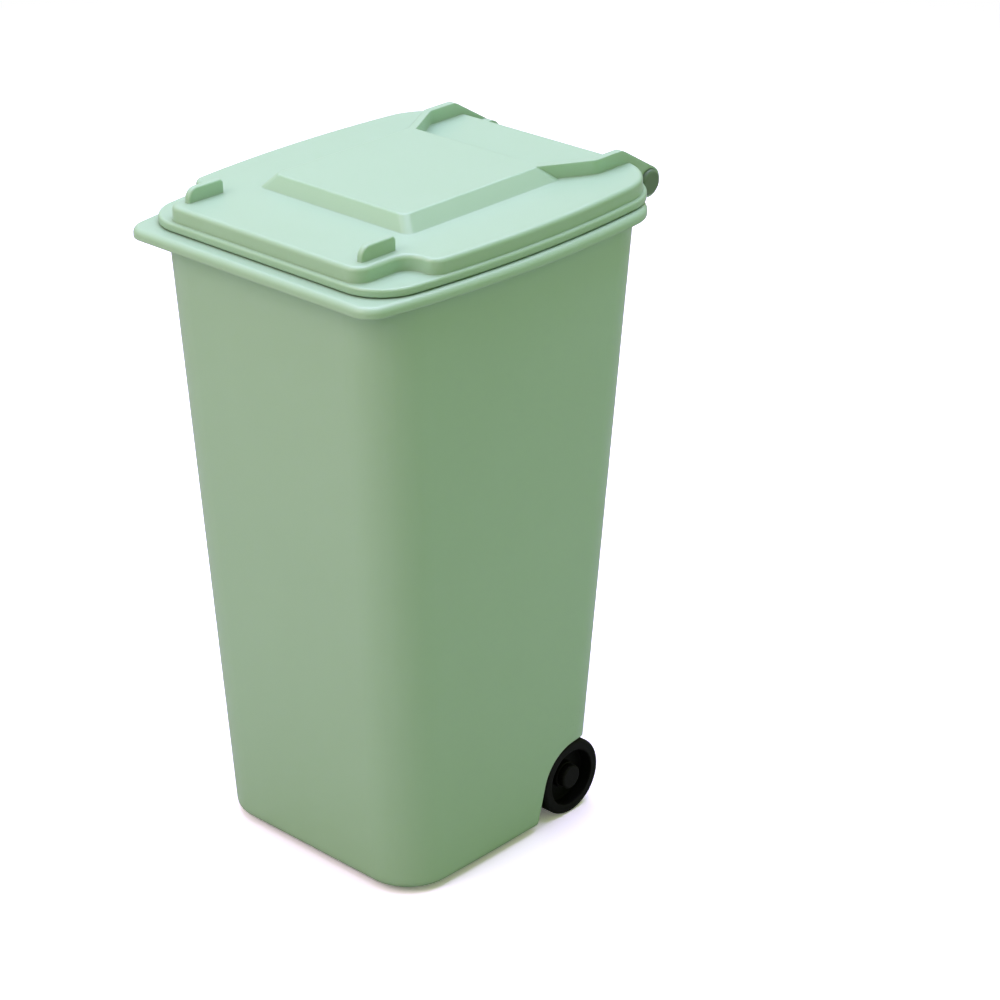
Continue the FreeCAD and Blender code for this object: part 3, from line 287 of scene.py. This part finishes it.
class DeskBinStage(bpy.types.PropertyGroup):
    """Where the camera and the lights are"""

    azimuth: FloatProperty(
        name="Azimuth", description="Angle of the camera round the bin", subtype="ANGLE",
        default=math.radians(42.689))
    elevation: FloatProperty(
        name="Elevation", description="Angle of the camera above the floor", subtype="ANGLE",
        default=math.radians(25.643))
    roll: FloatProperty(
        name="Roll", description="Turn of the camera about its own line of sight", subtype="ANGLE",
        default=math.radians(-0.1))
    distance: FloatProperty(
        name="Distance", description="From the camera to the point that it looks at", unit="LENGTH",
        default=0.64506)
    lens: FloatProperty(
        name="Lens", description="Focal length on a 36 mm sensor, in millimetres", default=103.263)
    target: FloatVectorProperty(
        name="Target", description="The point that the camera looks at", subtype="XYZ", unit="LENGTH", size=3,
        default=(0.013085, 0.012332, 0.076167))
    aim: FloatVectorProperty(
        name="Aim", description="The point that the softboxes point at", subtype="XYZ", unit="LENGTH", size=3,
        default=(0.0, 0.0, 0.08))
    top_light: FloatVectorProperty(
        name="Top light", description="Power of the softbox overhead, in each colour", size=3,
        default=(6.9, 6.2, 10.9))
    top_place: FloatVectorProperty(
        name="Top place", description="Middle of the softbox overhead", subtype="XYZ",
        unit="LENGTH", size=3, default=(-0.1, 0.15, 0.95))
    top_size: FloatProperty(
        name="Top size", description="Side of the softbox overhead", unit="LENGTH",
        default=0.9)
    back_light: FloatVectorProperty(
        name="Back light", description="Power of the softbox behind the bin, on the left, in each colour", size=3,
        default=(0.5, 0.45, 0.7))
    back_place: FloatVectorProperty(
        name="Back place", description="Middle of the softbox behind the bin, on the left", subtype="XYZ",
        unit="LENGTH", size=3, default=(-0.6, 0.65, 0.8))
    back_size: FloatProperty(
        name="Back size", description="Side of the softbox behind the bin, on the left", unit="LENGTH",
        default=0.9)
    front_light: FloatVectorProperty(
        name="Front light", description="Power of the softbox before the bin, in each colour", size=3,
        default=(1.66, 1.28, 1.47))
    front_place: FloatVectorProperty(
        name="Front place", description="Middle of the softbox before the bin", subtype="XYZ",
        unit="LENGTH", size=3, default=(-0.1, -0.5, 0.48))
    front_size: FloatProperty(
        name="Front size", description="Side of the softbox before the bin", unit="LENGTH",
        default=0.4)
    side_light: FloatVectorProperty(
        name="Side light", description="Power of the softbox behind the bin, on the right, in each colour", size=3,
        default=(0.15, 0.39, 0.11))
    side_place: FloatVectorProperty(
        name="Side place", description="Middle of the softbox behind the bin, on the right", subtype="XYZ",
        unit="LENGTH", size=3, default=(0.7, 0.4, 0.3))
    side_size: FloatProperty(
        name="Side size", description="Side of the softbox behind the bin, on the right", unit="LENGTH",
        default=0.5)
    ambient: FloatVectorProperty(
        name="Ambient", description="Light from all round, in each colour", size=3,
        default=(0.405, 0.477, 0.2))
    floor_half: FloatProperty(
        name="Floor", description="Half the side of the floor", unit="LENGTH", default=4.0)
    floor_shade: FloatProperty(
        name="Floor shade", description="Share of the light that the floor throws back on the bin",
        subtype="FACTOR", default=0.45)
    floor_white: FloatVectorProperty(
        name="Floor white", description="How strongly the light on the floor shows to the camera, in each colour",
        size=3, default=(1.55, 1.4, 1.75))
    floor_glow: FloatProperty(
        name="Floor glow", description="White added to the floor for the camera", default=0.1)
    fade_start: FloatProperty(
        name="Fade start", description="How far from the bin the floor starts to turn plain white", unit="LENGTH",
        default=0.3)
    fade_end: FloatProperty(
        name="Fade end", description="How far from the bin the floor is plain white", unit="LENGTH", default=0.7)


def dress(node, material):
    """Gives a piece of the frame its finish."""
    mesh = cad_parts[node].data
    mesh.materials.clear()
    mesh.materials.append(material)


class OBJECT_OT_desk_bin_tub(bpy.types.Operator):
    """Finish the tub in moulded green plastic"""
    bl_idname = "object.desk_bin_tub"
    bl_label = "Tub"

    def execute(self, context):
        scene = context.scene
        dress("tub", moulded_plastic("green_tub", scene.desk_bin_colours.green, scene.desk_bin_surface))
        return {"FINISHED"}


class OBJECT_OT_desk_bin_lid(bpy.types.Operator):
    """Finish the lid in the same plastic, from its own mould"""
    bl_idname = "object.desk_bin_lid"
    bl_label = "Lid"

    def execute(self, context):
        scene = context.scene
        dress("lid", moulded_plastic("green_lid", scene.desk_bin_colours.green, scene.desk_bin_surface))
        return {"FINISHED"}


class OBJECT_OT_desk_bin_pins(bpy.types.Operator):
    """Finish the hinge pins in darker green plastic, deepened further as painted shade at the knuckle ends"""
    bl_idname = "object.desk_bin_pins"
    bl_label = "Hinge Pins"

    def execute(self, context):
        scene = context.scene
        # The pins' darker colour is partly painted shade at the knuckle ends.
        dress("hinge_pins", moulded_plastic("pin_green", scene.desk_bin_colours.pin_green, scene.desk_bin_surface))
        return {"FINISHED"}


class OBJECT_OT_desk_bin_wheels(bpy.types.Operator):
    """Finish the wheels and the axle caps in black plastic"""
    bl_idname = "object.desk_bin_wheels"
    bl_label = "Wheels"

    def execute(self, context):
        scene = context.scene
        low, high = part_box("axle")
        material = turned_plastic("black_wheel", scene.desk_bin_colours.black, scene.desk_bin_surface,
                                  (low + high) / 2)
        for node in ("wheel_left", "wheel_right", "axle_caps"):
            dress(node, material)
        return {"FINISHED"}


class OBJECT_OT_desk_bin_axle(bpy.types.Operator):
    """Finish the axle in drawn steel"""
    bl_idname = "object.desk_bin_axle"
    bl_label = "Axle"

    def execute(self, context):
        scene = context.scene
        dress("axle", drawn_steel("axle_steel", scene.desk_bin_colours.steel, scene.desk_bin_surface))
        return {"FINISHED"}


def softbox(name, power, size, place, aim):
    """A square area light that points at a place. Its power is given for each colour."""
    strongest = max(power)
    lamp = bpy.data.lights.new(name, "AREA")
    lamp.shape = "SQUARE"
    lamp.size = size
    lamp.energy = strongest
    lamp.color = tuple(channel / strongest for channel in power)
    holder = bpy.data.objects.new(name, lamp)
    holder.location = place
    holder.rotation_euler = (Vector(aim) - Vector(place)).to_track_quat("-Z", "Y").to_euler()
    bpy.context.scene.collection.objects.link(holder)
    return holder


def white_floor(stage):
    """A floor that looks white to the camera but keeps the bin's shadow. Away from the bin it is plain white."""
    finish = Finish("white_floor")
    camera_ray = finish.node("ShaderNodeLightPath", output="Is Camera Ray")
    matt = finish.node("ShaderNodeBsdfDiffuse", None, {"Color": grey(stage.floor_shade)})
    pale = finish.node("ShaderNodeBsdfDiffuse", None, {"Color": tint(stage.floor_white, 1.0)})
    light = finish.node("ShaderNodeEmission", None, {"Color": grey(1.0), "Strength": stage.floor_glow})
    lit = finish.node("ShaderNodeAddShader", None, {0: pale, 1: light})
    plain = finish.node("ShaderNodeEmission", None, {"Color": grey(1.0), "Strength": 1.0})
    reach = finish.node("ShaderNodeVectorMath", {"operation": "LENGTH"}, {0: finish.place()}, output="Value")
    away = finish.node("ShaderNodeMath", {"operation": "DIVIDE", "use_clamp": True},
                       {0: reach - stage.fade_start, 1: stage.fade_end - stage.fade_start})
    seen = finish.node("ShaderNodeMixShader", None, {"Fac": away, 1: lit, 2: plain})
    return finish.show(finish.node("ShaderNodeMixShader", None, {"Fac": camera_ray, 1: matt, 2: seen}))


def white_room(power):
    """Soft light from all round, and plain white where the camera sees past the floor."""
    world = bpy.data.worlds.new("white_room")
    world.use_nodes = True
    nodes, links = world.node_tree.nodes, world.node_tree.links
    nodes.clear()
    strongest = max(power)
    room = nodes.new("ShaderNodeBackground")
    room.inputs["Color"].default_value = tuple(channel / strongest for channel in power) + (1.0,)
    room.inputs["Strength"].default_value = strongest
    backdrop = nodes.new("ShaderNodeBackground")
    backdrop.inputs["Color"].default_value = (1.0, 1.0, 1.0, 1.0)
    path = nodes.new("ShaderNodeLightPath")
    mix = nodes.new("ShaderNodeMixShader")
    output = nodes.new("ShaderNodeOutputWorld")
    links.new(path.outputs["Is Camera Ray"], mix.inputs["Fac"])
    links.new(room.outputs[0], mix.inputs[1])
    links.new(backdrop.outputs[0], mix.inputs[2])
    links.new(mix.outputs[0], output.inputs["Surface"])
    bpy.context.scene.world = world


class OBJECT_OT_desk_bin_stage(bpy.types.Operator):
    """Set up the floor, the lights and the camera"""
    bl_idname = "object.desk_bin_stage"
    bl_label = "Stage"

    def execute(self, context):
        scene = context.scene
        stage = scene.desk_bin_stage
        half = stage.floor_half
        mesh = bpy.data.meshes.new("floor")
        mesh.from_pydata([(-half, -half, 0), (half, -half, 0), (half, half, 0), (-half, half, 0)], [], [(0, 1, 2, 3)])
        mesh.materials.append(white_floor(stage))
        floor = bpy.data.objects.new("floor", mesh)
        scene.collection.objects.link(floor)
        for name in ("top", "back", "front", "side"):
            softbox(name + "_softbox", getattr(stage, name + "_light"), getattr(stage, name + "_size"),
                    getattr(stage, name + "_place"), stage.aim)
        white_room(stage.ambient)
        back = Vector((math.sin(stage.azimuth) * math.cos(stage.elevation),
                       -math.cos(stage.azimuth) * math.cos(stage.elevation),
                       math.sin(stage.elevation)))
        eye = bpy.data.cameras.new("camera")
        eye.lens = stage.lens
        eye.sensor_width = SENSOR_WIDTH
        eye.clip_start = NEAREST
        camera = bpy.data.objects.new("camera", eye)
        camera.location = Vector(stage.target) + back * stage.distance
        facing = (-back).to_track_quat("-Z", "Y")
        camera.rotation_euler = (facing @ Euler((0.0, 0.0, stage.roll)).to_quaternion()).to_euler()
        scene.collection.objects.link(camera)
        scene.camera = camera
        scene.view_settings.view_transform = "Standard"
        return {"FINISHED"}


class VIEW3D_PT_desk_bin(bpy.types.Panel):
    """Lists the pieces, their colours and finish, and the stage"""
    bl_idname = "VIEW3D_PT_desk_bin"
    bl_label = "Desk Bin"
    bl_space_type = "VIEW_3D"
    bl_region_type = "UI"
    bl_category = "Desk Bin"

    def draw(self, context):
        layout = self.layout
        for operator in OPERATORS:
            layout.operator(operator.bl_idname)
        for group in (context.scene.desk_bin_colours, context.scene.desk_bin_surface, context.scene.desk_bin_stage):
            box = layout.box()
            for name in group.__annotations__:
                box.prop(group, name)


GROUPS = {
    "desk_bin_colours": DeskBinColours,
    "desk_bin_surface": DeskBinSurface,
    "desk_bin_stage": DeskBinStage,
}
OPERATORS = (
    OBJECT_OT_desk_bin_tub,
    OBJECT_OT_desk_bin_lid,
    OBJECT_OT_desk_bin_pins,
    OBJECT_OT_desk_bin_wheels,
    OBJECT_OT_desk_bin_axle,
    OBJECT_OT_desk_bin_stage,
)


def register():
    for name, group in GROUPS.items():
        bpy.utils.register_class(group)
        setattr(bpy.types.Scene, name, PointerProperty(type=group))
    for item in OPERATORS + (VIEW3D_PT_desk_bin,):
        bpy.utils.register_class(item)


def unregister():
    for item in reversed(OPERATORS + (VIEW3D_PT_desk_bin,)):
        bpy.utils.unregister_class(item)
    for name, group in GROUPS.items():
        delattr(bpy.types.Scene, name)
        bpy.utils.unregister_class(group)


def main():
    register()
    bpy.ops.object.desk_bin_tub()
    bpy.ops.object.desk_bin_lid()
    bpy.ops.object.desk_bin_pins()
    bpy.ops.object.desk_bin_wheels()
    bpy.ops.object.desk_bin_axle()
    bpy.ops.object.desk_bin_stage()


if __name__ == "__main__":
    main()
